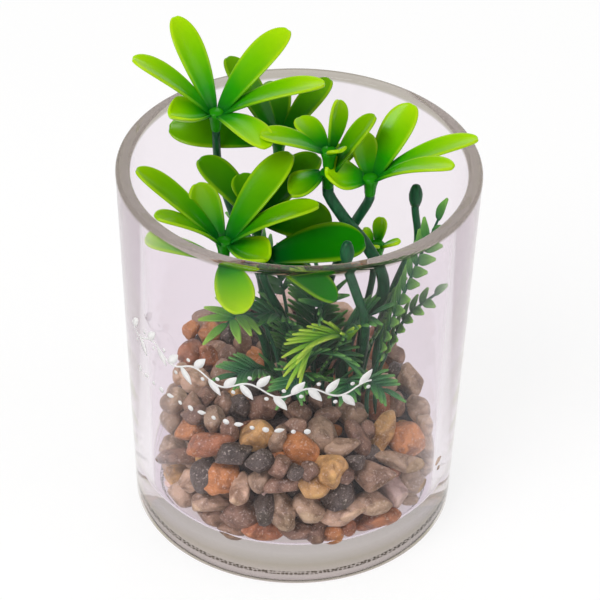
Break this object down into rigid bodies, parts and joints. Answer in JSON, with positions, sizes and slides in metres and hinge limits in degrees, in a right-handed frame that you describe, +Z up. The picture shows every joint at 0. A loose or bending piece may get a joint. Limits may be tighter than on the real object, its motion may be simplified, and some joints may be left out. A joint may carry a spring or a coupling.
{
  "type": "glass succulent pot",
  "caption": "Clear glass tumbler holding a lift-out plug of bonded gravel with an artificial succulent: moulded leaf whorls pressed on bent stems, and small fern fronds.",
  "frame": {"origin": "centre of the base, on the surface the glass stands on", "axes": "+Z up along the axis of the glass; -Y is the side seen in the picture; +X to its right"},
  "size_m": [0.08, 0.08, 0.1144],
  "materials": {
    "glass": "clear, fire-polished",
    "gravel": "mixed river pebbles, matt, bonded with clear resin",
    "stem": "dark green, satin",
    "leaf": "bright green with darker roots, satin",
    "leaf_shade": "mid green, satin",
    "fern": "dark green, satin"
  },
  "bodies": {
    "pot": {"glass_tumbler": "glass"},
    "insert": {"bonded_gravel": "gravel", "stem_left": "stem", "stem_front": "stem", "stem_back": "stem", "stem_middle": "stem", "stem_right": "stem", "stem_centre": "stem", "stem_low": "stem", "stem_cluster": "stem", "stem_bud_right": "stem", "stem_bud_centre": "stem", "whorl_left": "leaf", "whorl_front": "leaf", "whorl_front_lower": "leaf", "whorl_right": "leaf", "whorl_centre": "leaf", "whorl_centre_lower": "leaf_shade", "whorl_back": "leaf_shade", "whorl_middle": "leaf_shade", "whorl_low": "leaf_shade", "whorl_cluster": "leaf", "fern_left": "fern", "fern_bright": "fern", "fern_low": "fern", "fern_right": "fern", "fern_centre": "fern", "fern_shade": "fern", "fern_back": "fern", "sprig_right": "fern", "fern_dark_left": "fern", "fern_dark_right": "fern", "fern_dark_middle": "fern", "fern_low_left": "fern", "fern_low_middle": "fern", "fern_low_right": "fern", "twig_right": "fern"}
  },
  "joints": [
    {"name": "insert_lift", "type": "slide", "parent": "pot", "child": "insert", "axis": [0, 0, 1], "range_m": [0, 0.09]}
  ]
}
